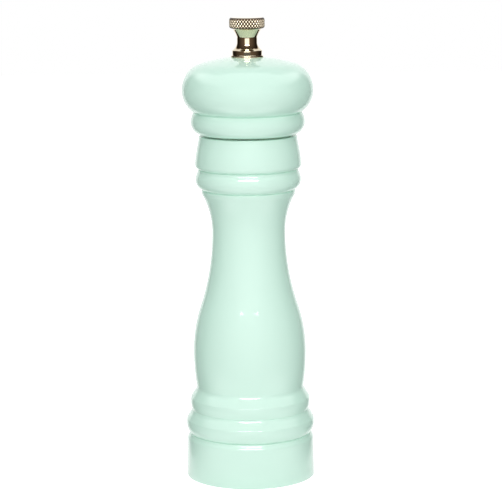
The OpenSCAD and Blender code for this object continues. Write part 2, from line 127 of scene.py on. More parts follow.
def bottom(node):
    """Height of a node's lowest point, in millimetres."""
    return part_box(node)[0].z / MM


def top(node):
    """Height of a node's highest point, in millimetres."""
    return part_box(node)[1].z / MM


def linear(shade):
    """Linear colour of an sRGB hex value."""
    channels = (int(shade[i:i + 2], 16) / 255 for i in (1, 3, 5))
    return [c / 12.92 if c <= 0.04045 else ((c + 0.055) / 1.055) ** 2.4 for c in channels]


def length(name, size, text):
    """A size in millimetres."""
    return FloatProperty(
        name=name, description=text, default=size * MM, min=0, unit="LENGTH", precision=5
    )


def station(name, radius, height, text):
    """A place on a turned outline, as its radius and its height in millimetres."""
    return FloatVectorProperty(
        name=name, description=text, default=(radius * MM, height * MM), size=2, min=0,
        unit="LENGTH", precision=5,
    )


def paint(name, shade, text):
    """A colour, from its sRGB hex value."""
    return FloatVectorProperty(
        name=name, description=text, default=linear(shade), size=3, min=0, max=1, subtype="COLOR"
    )


def angle(name, degrees, text):
    """An angle in degrees."""
    return FloatProperty(
        name=name, description=text, default=math.radians(degrees), subtype="ANGLE"
    )


def strength(name, value, text):
    """How bright a lamp is, or a part of the studio in reflections."""
    return FloatProperty(name=name, description=text, default=value, min=0)


class BodySizes(bpy.types.PropertyGroup):
    """Stations of the body, from the table up, and its bores."""

    foot: station("Foot", 28.3, bottom("mill_body"), "Edge that stands on the table")
    foot_top: station("Foot's top", 27.95, 16.7, "Top edge of the foot's wall")
    foot_slope: station("Foot slope", 27.5, 18.2, "Steepest place of the foot's rounding")
    foot_crease: station("Foot crease", 26.98, 19.65, "Crease above the foot")
    lower_bead: station("Lower bead", 28.35, 24, "Crest of the lower bead")
    lower_arris: station("Lower arris", 28.18, 25.9, "Soft edge of that bead's top")
    lower_slope: station("Lower slope", 26.6, 28.6, "Steepest place of that bead's top")
    bead_crease: station("Bead crease", 25.9, 30.2, "Crease between the two beads")
    upper_bead: station("Upper bead", 26.45, 33.5, "Crest of the upper bead")
    upper_arris: station("Upper arris", 26.28, 35.4, "Soft edge of that bead's top")
    upper_slope: station("Upper slope", 24.4, 38.5, "Steepest place of that bead's top")
    belly_crease: station("Belly crease", 23.65, 40.1, "Crease under the belly")
    belly: station("Belly", 24.95, 56, "Crest of the belly")
    waist: station("Waist", 16.15, 109.5, "Narrowest place of the waist")
    quirk: station("Quirk", 20.5, 126.3, "Edge where the waist's sweep ends")
    quirk_crease: station("Quirk crease", 20.6, 128.2, "Crease above the quirk's upright band")
    neck_bead: station("Neck bead", 23.15, 132.5, "Crest of the neck bead")
    neck_crease: station("Neck crease", 22.05, 137.3, "Crease above the neck bead")
    collar: station("Collar", 23.3, 139.3, "Crest of the collar")
    rim: station("Rim", 21.55, top("mill_body"), "Rim that the head rests on")
    crease_cut: length("Crease cut", 0.45, "Depth and width of the fine cut in a crease")
    bead_cut: length("Bead cut", 0.15, "Depth and width of the cut between the two beads")
    arris_edge: length("Arris edge", 0.12, "Rounding of the soft edges of the base beads")
    collar_slope: angle("Collar slope", 8, "Slope of the collar under the rim")
    foot_edge: length("Foot edge", 0.55, "Rounding of the edge that stands on the table")
    rim_edge: length("Rim edge", 0.5, "Rounding of the rim's outer edge")
    rim_relief: length("Rim relief", 0.22, "How far the rim is cut back outside the head's seat")
    recess: station("Recess", 23, bottom("stator"), "Wall and roof of the recess under the foot")
    counterbore: station("Counterbore", 16, top("stator") + 2, "Wall and roof of the burr's bore")
    hopper: length("Hopper", 12.7, "Radius of the bore for the peppercorns")
    soft_edge: length("Soft edge", 0.35, "Rounding that lacquer and use give to an edge")


class HeadSizes(bpy.types.PropertyGroup):
    """Stations of the head, from its tenon up."""

    tenon: station("Tenon", 12.4, bottom("head"), "Tenon that centres the head in the hopper")
    seat: station("Seat", 18.3, top("mill_body"), "Edge of the flat that rests on the rim")
    slot: station("Slot", 21.2, top("mill_body") + 0.5, "Outer edge of the undercut round the seat")
    bead: station("Bead", 25, 157.9, "Crest of the head's bead")
    groove: station("Groove", 23.9, 162.1, "Groove above the bead")
    cap: station("Cap", 28.8, 171.9, "Widest place of the cap")
    crown: station("Crown", 7.6, top("head"), "Edge of the flat that the washer lies on")
    dome: length("Dome", 72, "Radius of the cap's flat dome")
    bore: length("Bore", 4.8, "Radius of the hole that the shaft runs through")
    groove_cut: length("Groove cut", 0.4, "Depth and width of the fine cut in the groove")
    soft_edge: length("Soft edge", 0.35, "Rounding that lacquer and use give to an edge")


class NutSizes(bpy.types.PropertyGroup):
    """Stations and knurl of the thumb nut, and its washer."""

    flange: station("Flange", 6.55, 189.15, "Top edge of the flange")
    neck: station("Neck", 4.42, 192.3, "Foot of the neck, where the flare ends")
    neck_top: station("Neck's top", 4.4, 194.2, "Top of the neck")
    waist: station("Waist", 4.35, 194.6, "Narrowest place, where the trumpet starts")
    trumpet: station("Trumpet", 6.2, 198, "Where the trumpet's mouth starts to turn out")
    mouth: station("Mouth", 7.1, 198.5, "Edge of the trumpet's mouth, under the grip")
    grip: station("Grip", 7.7, 198.55, "Lower edge of the grip, over the knurl's points")
    grip_edge: length("Grip edge", 0.9, "Rounding of the grip's lower edge")
    grip_top_edge: length("Grip's top edge", 1.25, "Rounding of the grip's top edge")
    flange_edge: length("Flange edge", 0.3, "Bevel of the flange's top edge")
    flange_draft: length("Flange draft", 0.07, "How much narrower the flange is at its foot")
    hole: station("Hole", 2.45, 200.6, "Wall and roof of the threaded hole")
    knurl_depth: length("Knurl depth", 0.4, "Depth of the knurl's grooves")
    knurl_height: length("Knurl height", 1.85, "Height of one diamond of the knurl")
    knurl_count: IntProperty(
        name="Knurl count", description="Diamonds round the grip", default=35, min=8, max=80
    )
    washer: length("Washer", 7.1, "Outer radius of the washer")
    soft_edge: length("Soft edge", 0.12, "Rounding that plating and use give to an edge")


class ShaftSizes(bpy.types.PropertyGroup):
    """Sizes of the drive shaft and of the spring round it."""

    bar: station("Bar", 3.175, top("rotor_clip"), "Half the square bar's side, and its lower end")
    bar_top: length("Bar's top", 181.1, "Height of the square bar's upper end")
    bar_corner: FloatProperty(
        name="Bar corner", description="Sharpness of the bar's long edges", default=20,
        min=4, max=60,
    )
    journal: length("Journal", 2.5, "Radius of the journal")
    clip_groove: length("Clip groove", 0.5, "Depth of the clip's groove in the journal")
    thread: length("Thread", 2.4, "Radius over the thread's crests")
    thread_pitch: length("Thread pitch", 1.06, "Travel of the nut for one turn")
    thread_depth: length("Thread depth", 0.5, "Depth of the thread")
    soft_edge: length("Soft edge", 0.2, "Rounding of the turned edges")
    wire: length("Wire", 0.5, "Radius of the spring's wire")
    coil: length("Coil", 5.8, "Radius of the spring, to the middle of its wire")
    turns: FloatProperty(
        name="Turns", description="Turns of the spring", default=5.5, min=3, max=9
    )
    closed_turns: FloatProperty(
        name="Closed turns", description="Turns that lie on each other at each end", default=0.9,
        min=0.5, max=1.5,
    )


class Finishes(bpy.types.PropertyGroup):
    """Colours of the finishes."""

    lacquer: paint("Lacquer", "#cef0e1", "Gloss lacquer of the body and the head")
    lacquer_thick: paint("Thick lacquer", "#caeddd", "The same lacquer where it lies thicker")
    maple: paint("Maple", "#dcc199", "Bare maple inside the bores")
    maple_late: paint("Late wood", "#bd9a6b", "Darker late wood of the maple")
    nickel: paint("Nickel", "#ddd1b8", "Bright nickel plate of the nut and its washer")
    # Dark brown that colours the knurl's grooves deep down
    groove_dark: paint("Dark brown", "#33251a", "Tarnish in the grooves of the nut's knurl")
    zinc: paint("Zinc", "#c3c7ca", "Zinc plate of the pressed parts and the screws")
    burr: paint("Burr steel", "#77736f", "Hardened steel of the burr")
    spring: paint("Spring steel", "#97938e", "Drawn spring wire")
    aluminium: paint("Aluminium", "#d5d7da", "Drawn bar of the shaft")
    brass: paint("Brass", "#d6b366", "Turned brass of the bush")


class StageSettings(bpy.types.PropertyGroup):
    """Camera, lamps and floor, and the studio in reflections."""

    distance: length("Distance", 965, "From the mill's axis to the camera")
    height: length("Height", 264.5, "Height of the camera over the floor")
    aside: length("Aside", 0.9, "Camera's place to the right of the mill's axis")
    tilt: angle("Tilt", 9.64, "How far the camera looks down")
    roll: angle("Roll", 0.51, "Turn of the camera about its own axis")
    lens: FloatProperty(
        name="Lens", description="Focal length on a sensor 36 mm wide", default=159.4,
        unit="CAMERA",
    )
    ambient: strength("Ambient", 0.66, "Brightness of the light from all round")
    high: strength("High lamp", 1.6, "Brightness of the big lamp high over the camera")
    front: strength("Front lamp", 1.35, "Brightness of the big lamp over the camera")
    key: strength("Soft box", 14, "Brightness of the small soft box in reflections")
    panel: strength("Front panel", 3.5, "Brightness of the front panel in reflections")
    table: strength("Table", 3.2, "Brightness of the table in reflections")
    ceiling: strength("Ceiling", 2.8, "Brightness of the ceiling in reflections")
    backdrop: strength("Backdrop", 1.15, "Brightness of the backdrop in reflections")
    room: strength("Room", 0.05, "Brightness of the dim room in reflections")
    window: strength("Window", 1.8, "Brightness of the window that bright plating shows")
    dim_room: strength("Dim room", 0.16, "Brightness of the room that bright plating shows")
    floor: length("Floor", 4000, "Side of the floor")
    paper: paint("Paper", "#f6f6f6", "White paper of the floor")
    brown: paint("Brown", "#ffdcbe", "Tint of the room that bright plating shows")


GROUPS = {
    "mill_body": BodySizes,
    "mill_head": HeadSizes,
    "mill_nut": NutSizes,
    "mill_shaft": ShaftSizes,
    "mill_finishes": Finishes,
    "mill_stage": StageSettings,
}


def add(tree, kind, inputs=(), **settings):
    """Adds a node with its settings. Each input, by its name or its place, takes a value, a socket
    to link from, or a node whose first output it is linked from."""
    node = tree.nodes.new(kind)
    for name, value in settings.items():
        setattr(node, name, value)
    for key, value in inputs.items() if isinstance(inputs, dict) else enumerate(inputs):
        if isinstance(value, bpy.types.Node):
            value = value.outputs[0]
        if isinstance(value, bpy.types.NodeSocket):
            tree.links.new(value, node.inputs[key])
        else:
            node.inputs[key].default_value = value
    return node


# Geometry trees

def new_tree(name, sockets):
    """A geometry tree with the given inputs, each a name and a kind of socket."""
    tree = bpy.data.node_groups.new(name, "GeometryNodeTree")
    tree.is_modifier = True
    tree.interface.new_socket("Geometry", in_out="INPUT", socket_type="NodeSocketGeometry")
    tree.interface.new_socket("Geometry", in_out="OUTPUT", socket_type="NodeSocketGeometry")
    for socket, kind in sockets.items():
        tree.interface.new_socket(socket, in_out="INPUT", socket_type="NodeSocket" + kind)
    return tree


def turning_tree():
    """Turns an outline about Z. A tool pattern can be cut into it: a helix, or two that cross. Land
    is the share of the pattern that the tool leaves at full height. Each point of the outline
    carries the marks."""
    tree = new_tree("Turned part", {
        "Around": "Int", "Starts": "Int", "Turns per metre": "Float", "Crossed": "Float",
        "Depth": "Float", "Land": "Float", "Corner": "Float", "Finish": "Material",
        "Bare finish": "Material",
    })
    given = add(tree, "NodeGroupInput").outputs
    outline = given["Geometry"]
    rows = add(tree, "GeometryNodeAttributeDomainSize", [outline]).outputs["Point Count"]
    columns = add(tree, "FunctionNodeIntegerMath", [given["Around"], 1], operation="ADD")
    grid = add(tree, "GeometryNodeMeshGrid", {"Vertices X": columns, "Vertices Y": rows})
    index = add(tree, "GeometryNodeInputIndex")
    column = add(tree, "FunctionNodeIntegerMath", [index, rows], operation="DIVIDE_FLOOR")
    row = add(tree, "FunctionNodeIntegerMath", [index, rows], operation="FLOORED_MODULO")
    held = {}
    for name, kind in MARKS.items():
        field = add(tree, "GeometryNodeInputNamedAttribute", {"Name": name}, data_type=kind)
        held[name] = add(
            tree, "GeometryNodeSampleIndex",
            {"Geometry": outline, "Value": field.outputs["Attribute"], "Index": row},
            data_type=kind,
        )
    point = add(
        tree, "GeometryNodeSampleIndex",
        {"Geometry": outline, "Value": add(tree, "GeometryNodeInputPosition"), "Index": row},
        data_type="FLOAT_VECTOR",
    )
    place = add(tree, "ShaderNodeSeparateXYZ", [point]).outputs
    share = add(tree, "ShaderNodeMath", [column, given["Around"]], operation="DIVIDE")
    turn = add(tree, "ShaderNodeMath", [share, math.tau], operation="MULTIPLY")
    cosine = add(tree, "ShaderNodeMath", [turn], operation="COSINE")
    sine = add(tree, "ShaderNodeMath", [turn], operation="SINE")

    # A helix runs from 0 on its crest to 1 in its groove
    start = add(tree, "ShaderNodeMath", [share, given["Starts"]], operation="MULTIPLY")
    lead = add(tree, "ShaderNodeMath", [place["Z"], given["Turns per metre"]], operation="MULTIPLY")
    helices = []
    for hand in ("SUBTRACT", "ADD"):
        phase = add(tree, "ShaderNodeMath", [start, lead], operation=hand)
        double = add(tree, "ShaderNodeMath", [phase, 2], operation="MULTIPLY")
        helices.append(add(tree, "ShaderNodeMath", [double, 1], operation="PINGPONG"))
    crossed = add(tree, "ShaderNodeMath", [helices[1], given["Crossed"]], operation="MULTIPLY")
    deeper = add(tree, "ShaderNodeMath", [helices[0], crossed], operation="MAXIMUM")
    groove = add(tree, "ShaderNodeMapRange", [deeper, given["Land"], 1, 0, given["Depth"]])
    cut = add(tree, "ShaderNodeMath", [groove, held["cut"]], operation="MULTIPLY")

    # Where the section is square, the radius is half the side, and the corners are a little round
    powers = []
    for wave in (cosine, sine):
        size = add(tree, "ShaderNodeMath", [wave], operation="ABSOLUTE")
        powers.append(add(tree, "ShaderNodeMath", [size, given["Corner"]], operation="POWER"))
    total = add(tree, "ShaderNodeMath", powers, operation="ADD")
    root = add(tree, "ShaderNodeMath", [-1, given["Corner"]], operation="DIVIDE")
    reach = add(tree, "ShaderNodeMath", [total, root], operation="POWER")
    stretch = add(tree, "ShaderNodeMapRange", [held["square"], 0, 1, 1, reach])
    round_radius = add(tree, "ShaderNodeMath", [place["X"], cut], operation="SUBTRACT")
    radius = add(tree, "ShaderNodeMath", [round_radius, stretch], operation="MULTIPLY")

    position = add(tree, "ShaderNodeCombineXYZ", {
        "X": add(tree, "ShaderNodeMath", [radius, cosine], operation="MULTIPLY"),
        "Y": add(tree, "ShaderNodeMath", [radius, sine], operation="MULTIPLY"),
        "Z": place["Z"],
    })
    marked = add(
        tree, "GeometryNodeStoreNamedAttribute",
        {"Geometry": grid, "Name": "bare", "Value": held["bare"]},
        data_type="BOOLEAN", domain="POINT",
    )
    shaped = add(tree, "GeometryNodeSetPosition", {"Geometry": marked, "Position": position})
    closed = add(
        tree, "GeometryNodeMergeByDistance", {"Geometry": shaped, "Distance": SAME_PLACE}
    )
    real = add(tree, "GeometryNodeRealizeInstances", [closed])
    finished = add(
        tree, "GeometryNodeSetMaterial", {"Geometry": real, "Material": given["Finish"]}
    )
    bare = add(tree, "GeometryNodeInputNamedAttribute", {"Name": "bare"}, data_type="BOOLEAN")
    bared = add(tree, "GeometryNodeSetMaterial", {
        "Geometry": finished, "Selection": bare, "Material": given["Bare finish"],
    })
    add(tree, "NodeGroupOutput", [bared])
    return tree


def spring_tree():
    """Winds a spring about Z between two heights. Its last turns lie on each other at each end."""
    tree = new_tree("Coil spring", {
        "Low": "Float", "High": "Float", "Coil": "Float", "Wire": "Float", "Turns": "Float",
        "Closed turns": "Float", "Turn steps": "Float", "Wire sides": "Int", "Finish": "Material",
    })
    given = add(tree, "NodeGroupInput").outputs
    steps = add(tree, "ShaderNodeMath", [given["Turns"], given["Turn steps"]], operation="MULTIPLY")
    line = add(tree, "GeometryNodeCurvePrimitiveLine")
    path = add(tree, "GeometryNodeResampleCurve", {"Curve": line, "Count": steps})
    factor = add(tree, "GeometryNodeSplineParameter").outputs["Factor"]
    turn = add(tree, "ShaderNodeMath", [factor, given["Turns"]], operation="MULTIPLY")
    low = add(tree, "ShaderNodeMath", [given["Low"], given["Wire"]], operation="ADD")
    high = add(tree, "ShaderNodeMath", [given["High"], given["Wire"]], operation="SUBTRACT")
    # A closed turn rises by one thickness of the wire
    pitch = add(tree, "ShaderNodeMath", [given["Wire"], 2], operation="MULTIPLY")
    closed = add(tree, "ShaderNodeMath", [pitch, given["Closed turns"]], operation="MULTIPLY")
    last = add(
        tree, "ShaderNodeMath", [given["Turns"], given["Closed turns"]], operation="SUBTRACT"
    )
    open_low = add(tree, "ShaderNodeMath", [low, closed], operation="ADD")
    open_high = add(tree, "ShaderNodeMath", [high, closed], operation="SUBTRACT")
    open_reach = add(tree, "ShaderNodeMath", [open_high, open_low], operation="SUBTRACT")
    first_rise = add(
        tree, "ShaderNodeMapRange", [turn, 0, given["Closed turns"], low, open_low]
    )
    open_rise = add(
        tree, "ShaderNodeMapRange", [turn, given["Closed turns"], last, 0, open_reach]
    )
    last_rise = add(tree, "ShaderNodeMapRange", [turn, last, given["Turns"], 0, closed])
    rise = add(tree, "ShaderNodeMath", [first_rise, open_rise], operation="ADD")
    height = add(tree, "ShaderNodeMath", [rise, last_rise], operation="ADD")
    angle_round = add(tree, "ShaderNodeMath", [turn, math.tau], operation="MULTIPLY")
    cosine = add(tree, "ShaderNodeMath", [angle_round], operation="COSINE")
    sine = add(tree, "ShaderNodeMath", [angle_round], operation="SINE")
    position = add(tree, "ShaderNodeCombineXYZ", {
        "X": add(tree, "ShaderNodeMath", [given["Coil"], cosine], operation="MULTIPLY"),
        "Y": add(tree, "ShaderNodeMath", [given["Coil"], sine], operation="MULTIPLY"),
        "Z": height,
    })
    wound = add(tree, "GeometryNodeSetPosition", {"Geometry": path, "Position": position})
    section = add(
        tree, "GeometryNodeCurvePrimitiveCircle",
        {"Resolution": given["Wire sides"], "Radius": given["Wire"]},
    )
    swept = add(tree, "GeometryNodeCurveToMesh", {
        "Curve": wound, "Profile Curve": section, "Fill Caps": True,
    })
    real = add(tree, "GeometryNodeRealizeInstances", [swept])
    finished = add(
        tree, "GeometryNodeSetMaterial", {"Geometry": real, "Material": given["Finish"]}
    )
    add(tree, "NodeGroupOutput", [finished])
    return tree


TREES = {"Turned part": turning_tree, "Coil spring": spring_tree}


def make_plain(piece, tree_name, inputs):
    """Runs a geometry tree on a piece and leaves its result as the piece's plain mesh."""
    tree = bpy.data.node_groups.get(tree_name) or TREES[tree_name]()
    modifier = piece.modifiers.new(tree_name, "NODES")
    modifier.node_group = tree
    for item in tree.interface.items_tree:
        if item.in_out == "INPUT" and item.name in inputs:
            modifier[item.identifier] = inputs[item.name]
    seen = piece.evaluated_get(bpy.context.evaluated_depsgraph_get())
    mesh = bpy.data.meshes.new_from_object(seen)
    piece.modifiers.remove(modifier)
    drawn, piece.data = piece.data, mesh
    bpy.data.meshes.remove(drawn)
    mesh.name = piece.name
    for mark in [a.name for a in mesh.attributes if a.name in MARKS]:
        mesh.attributes.remove(mesh.attributes[mark])
    work = bmesh.new()
    work.from_mesh(mesh)
    bmesh.ops.recalc_face_normals(work, faces=work.faces)
    work.to_mesh(mesh)
    work.free()
    mesh.shade_smooth()
    mesh.set_sharp_from_angle(angle=CRISP_ANGLE)


# Turned outlines

Row = namedtuple("Row", "radius height cut bare square", defaults=(0, 0, 0))


def arc_steps(radius, turn):
    """How many steps draw an arc smoothly."""
    return max(3, math.ceil(turn / ARC_TURN), math.ceil(radius * turn / ARC_CHORD))


def flank(low, high, share):
    """Rows from one upright place of an outline up to the next, without the first. An arc out of
    low takes the given share of the rise, and a counter-arc runs into high. A share of 1 leaves an
    edge at high, and a share of 0 leaves one at low."""
    rise, run = high[1] - low[1], high[0] - low[0]
    turn = 2 * math.atan2(abs(run), rise)
    reach = math.copysign(rise / math.sin(turn), run)
    rows = []
    if share > 0:
        radius = reach * share
        steps = arc_steps(abs(radius), turn)
        for i in range(1, steps + 1):
            a = turn * i / steps
            out, up = radius * (1 - math.cos(a)), abs(radius) * math.sin(a)
            rows.append(Row(low[0] + out, low[1] + up))
    if share < 1:
        radius = reach * (1 - share)
        steps = arc_steps(abs(radius), turn)
        for i in range(steps - 1, -1, -1):
            a = turn * i / steps
            out, up = radius * (1 - math.cos(a)), abs(radius) * math.sin(a)
            rows.append(Row(high[0] - out, high[1] - up))
    return rows


def flanks(*stations):
    """Rows through stations, from the lowest up. A station holds its place, and the share that the
    arc above it takes of the rise to the next."""
    rows = [Row(*stations[0][0][:2])]
    for (low, share), (high, _) in zip(stations, stations[1:]):
        rows += flank(low, high, share)
    return rows


def sweep(low, low_tilt, high, high_tilt, steps=SWEEP_STEPS):
    """Rows of a smooth curve between two places, without the first. A tilt is how far the surface
    faces up there, in radians."""
    chord = math.dist(low[:2], high[:2])
    ends = [(-chord * math.sin(tilt), chord * math.cos(tilt)) for tilt in (low_tilt, high_tilt)]
    rows = []
    for i in range(1, steps + 1):
        t = i / steps
        weights = (
            (1 + 2 * t) * (1 - t) ** 2, t * (1 - t) ** 2, t ** 2 * (3 - 2 * t), t ** 2 * (t - 1),
        )
        rows.append(Row(*(
            sum(w * x for w, x in zip(weights, parts)) for parts in zip(low, ends[0], high, ends[1])
        )))
    return rows


def sweeps(*stations):
    """Rows of a smooth curve through stations, from the lowest up. A station holds its place, and
    how far the surface faces up there, in degrees."""
    rows = [Row(*stations[0][0][:2])]
    for (low, low_tilt), (high, high_tilt) in zip(stations, stations[1:]):
        rows += sweep(low, math.radians(low_tilt), high, math.radians(high_tilt), BEAD_STEPS)
    return rows


def arc(centre, radii, start, end):
    """Rows of an arc or of a stretched arc, between two angles in radians."""
    steps = arc_steps(max(radii), abs(end - start))
    turns = (start + (end - start) * i / steps for i in range(steps + 1))
    return [
        Row(centre[0] + radii[0] * math.cos(a), centre[1] + radii[1] * math.sin(a)) for a in turns
    ]


def rounded(radius, height, edge, start, end):
    """Rows of a rounded edge that reaches out to radius, about a centre at the given height."""
    return arc((radius - edge, height), (edge, edge), math.radians(start), math.radians(end))


def straight(*places, **held):
    """Rows at places that straight lines join, with the marks that they hold."""
    return [Row(radius, height, **held) for radius, height in places]


def crease(place, cut):
    """Rows of a fine cut in the crease at a place, as deep and as wide as cut."""
    radius, height = place
    return straight((radius, height - cut / 2), (radius - cut, height), (radius, height + cut / 2))


def soften(rows, reach, least=CORNER_TURN):
    """Rounds the corners of an outline that turn by least or more, from reach before each to reach
    after it."""
    places = [Vector(row[:2]) for row in rows]
    along = [0]
    for a, b in zip(places, places[1:]):
        along.append(along[-1] + (b - a).length)
    corners = []
    for i in range(1, len(rows) - 1):
        before, after = places[i] - places[i - 1], places[i + 1] - places[i]
        if before.length and after.length and before.angle(after) > least:
            corners.append(i)

    def row_at(distance, held):
        """The place at a distance along the outline, with another row's marks."""
        for i in range(1, len(rows)):
            if along[i] >= distance:
                share = (distance - along[i - 1]) / (along[i] - along[i - 1])
                place = places[i - 1].lerp(places[i], share)
                return held._replace(radius=place.x, height=place.y)

    # A rounding stays clear of the corners at both sides, and the outline's ends don't limit it
    fences = [-along[-1], *(along[i] for i in corners), 2 * along[-1]]
    gone, new = [], {}
    for number, i in enumerate(corners):
        room = min(fences[number + 1] - fences[number], fences[number + 2] - fences[number + 1])
        cut_back = min(reach, CORNER_SHARE * room)
        first = row_at(along[i] - cut_back, rows[i - 1])
        last = row_at(along[i] + cut_back, rows[i + 1])
        gone.append((along[i] - cut_back, along[i] + cut_back))
        bend = []
        for step in range(CORNER_STEPS + 1):
            t = step / CORNER_STEPS
            weights = ((1 - t) ** 2, 2 * t * (1 - t), t ** 2)
            held = first if t < 0.5 else last
            ends = (first, rows[i], last)
            bend.append(held._replace(
                radius=sum(w * row.radius for w, row in zip(weights, ends)),
                height=sum(w * row.height for w, row in zip(weights, ends)),
            ))
        new[i] = bend
    out = []
    for i, row in enumerate(rows):
        if i in new:
            out += new[i]
        elif not any(low <= along[i] <= high for low, high in gone):
            out.append(row)
    return out


def body_outline(sizes):
    """From the hopper's wall down, round the foot and up the outside to the rim, and back in."""
    rim, foot = sizes.rim, sizes.foot
    relief = rim[1] - sizes.rim_relief
    shoulder = (rim[0], relief - sizes.rim_edge)
    half_way = (sizes.hopper, (rim[1] + sizes.counterbore[1]) / 2)
    bores = straight(
        half_way, (sizes.hopper, sizes.counterbore[1]), sizes.counterbore,
        (sizes.counterbore[0], sizes.recess[1]), sizes.recess, (sizes.recess[0], foot[1]), bare=1,
    )
    foot_cut = crease(sizes.foot_crease, sizes.crease_cut)
    bead_cut = crease(sizes.bead_crease, sizes.bead_cut)
    neck_cut = crease(sizes.neck_crease, sizes.crease_cut)
    quirk_cut = crease(sizes.quirk_crease, sizes.crease_cut)
    base = [
        *sweeps((sizes.foot_top, 0), (sizes.foot_slope, FOOT_TILT),
                (foot_cut[0], FOOT_CREASE_TILT)),
        *foot_cut[1:],
        *flank(foot_cut[-1], sizes.lower_bead, 0),
        *sweeps((sizes.lower_bead, 0), (sizes.lower_arris, UNDER_ARRIS_TILT))[1:],
        *sweeps((sizes.lower_arris, OVER_ARRIS_TILT), (sizes.lower_slope, LOWER_TILT),
                (bead_cut[0], BEAD_CREASE_TILT))[1:],
        *bead_cut[1:],
        *flank(bead_cut[-1], sizes.upper_bead, 0),
        *sweeps((sizes.upper_bead, 0), (sizes.upper_arris, UNDER_ARRIS_TILT))[1:],
        *sweeps((sizes.upper_arris, OVER_ARRIS_TILT), (sizes.upper_slope, UPPER_TILT),
                (sizes.belly_crease, BEAD_CREASE_TILT))[1:],
    ]
    outside = [
        *soften(base, sizes.arris_edge, ARRIS_TURN),
        *flanks((sizes.belly_crease, 0), (sizes.belly, BELLY_SHARE), (sizes.waist, 1),
                (sizes.quirk, 0))[1:],
        *quirk_cut,
        *flanks((quirk_cut[-1], 0), (sizes.neck_bead, NECK_SHARE), (neck_cut[0], 0))[1:],
        *neck_cut[1:],
        *flank(neck_cut[-1], sizes.collar, 0),
        *sweep(sizes.collar, 0, shoulder, sizes.collar_slope),
    ]
    # The lacquer ends on the rim and a little inside the ring that stands on the table
    rows = [
        *bores,
        *straight((foot[0] - sizes.foot_edge - LACQUER_END, foot[1]), bare=1),
        *rounded(foot[0], foot[1] + sizes.foot_edge, sizes.foot_edge, -90, 0),
        *outside,
        *rounded(rim[0], shoulder[1], sizes.rim_edge, 0, 90)[1:],
        *straight((RELIEF_SHARE * rim[0], relief), (SEAT_SHARE * rim[0], rim[1])),
        *straight((BARE_SHARE * rim[0], rim[1]), (sizes.hopper, rim[1]), half_way, bare=1),
    ]
    return soften(rows, sizes.soft_edge)


def head_outline(sizes):
    """From the bore's wall down, round the tenon and up the outside to the crown, and back in."""
    tenon, seat, slot, cap, crown = sizes.tenon, sizes.seat, sizes.slot, sizes.cap, sizes.crown
    half_way = (sizes.bore, (tenon[1] + crown[1]) / 2)
    dome = sizes.dome
    centre = crown[1] - math.sqrt(dome ** 2 - crown[0] ** 2)
    # The shoulder is upright at the cap's widest place and runs into the dome
    rise = cap[1] - centre
    shoulder = (dome ** 2 - cap[0] ** 2 - rise ** 2) / (2 * (dome - cap[0]))
    turn = math.atan2(rise, cap[0] - shoulder)
    cut = crease(sizes.groove, sizes.groove_cut)
    rows = [
        *straight(half_way, (sizes.bore, tenon[1]), tenon, (tenon[0], seat[1]), bare=1),
        *straight(seat, (seat[0], slot[1])),
        *flanks((slot, 0), (sizes.bead, 1), (cut[0], 0)),
        *cut[1:],
        *flank(cut[-1], cap, 0),
        *arc((cap[0] - shoulder, cap[1]), (shoulder, shoulder), 0, turn)[1:],
        *arc((0, centre), (dome, dome), turn, math.acos(crown[0] / dome))[1:],
        *straight((sizes.bore + sizes.soft_edge, crown[1])),
        *straight((sizes.bore, crown[1]), half_way, bare=1),
    ]
    return soften(rows, sizes.soft_edge)


def nut_outline(sizes):
    """From the roof of the hole down, round the flange and up the outside to the top."""
    low, high = bottom("thumb_nut") * MM, top("thumb_nut") * MM
    flange, neck, grip = sizes.flange, sizes.neck, sizes.grip
    edge, top_edge = sizes.grip_edge, sizes.grip_top_edge
    flare = (flange[0] - sizes.flange_edge, flange[1])
    hole = soften(
        straight((0, sizes.hole[1]), sizes.hole, (sizes.hole[0], low),
                 (flange[0] - sizes.flange_draft, low),
                 (flange[0], flange[1] - sizes.flange_edge), flare),
        sizes.soft_edge,
    )
    grip_low, grip_high = grip[1] + edge, high - top_edge
    count = round((grip_high - grip_low) / sizes.knurl_height * PATTERN_ROWS)
    knurl = [
        Row(grip[0], grip_low + (grip_high - grip_low) * i / count, cut=1)
        for i in range(1, count)
    ]
    # The knurl runs out on the grip's rounded edges
    lower_edge = rounded(grip[0], grip_low, edge, GRIP_START, 0)
    upper_edge = rounded(grip[0], grip_high, top_edge, 0, 90)
    faded = [
        [row._replace(cut=max(0, 1 - abs(row.height - mid) / reach)) for row in rows]
        for rows, mid, reach in ((lower_edge, grip_low, edge), (upper_edge, grip_high, top_edge))
    ]
    return [
        *hole,
        *sweep(flare, math.radians(FLARE_TILT), neck, math.radians(NECK_TILT)),
        *straight(sizes.neck_top, sizes.waist),
        *sweep(sizes.waist, math.radians(WAIST_TILT), sizes.trumpet, math.radians(TRUMPET_TILT)),
        *sweep(sizes.trumpet, math.radians(TRUMPET_TILT), sizes.mouth, math.radians(MOUTH_TILT)),
        *faded[0], *knurl, *faded[1],
        *straight((0, high)),
    ]


def washer_outline(sizes):
    """Round the washer's flat ring, from the middle of the hole's wall."""
    low, high = bottom("nut_washer") * MM, top("nut_washer") * MM
    hole, rim = sizes.hole[0], sizes.washer
    middle = (hole, (low + high) / 2)
    return soften(
        straight(middle, (hole, low), (rim, low), (rim, high), (hole, high), middle),
        sizes.soft_edge,
    )


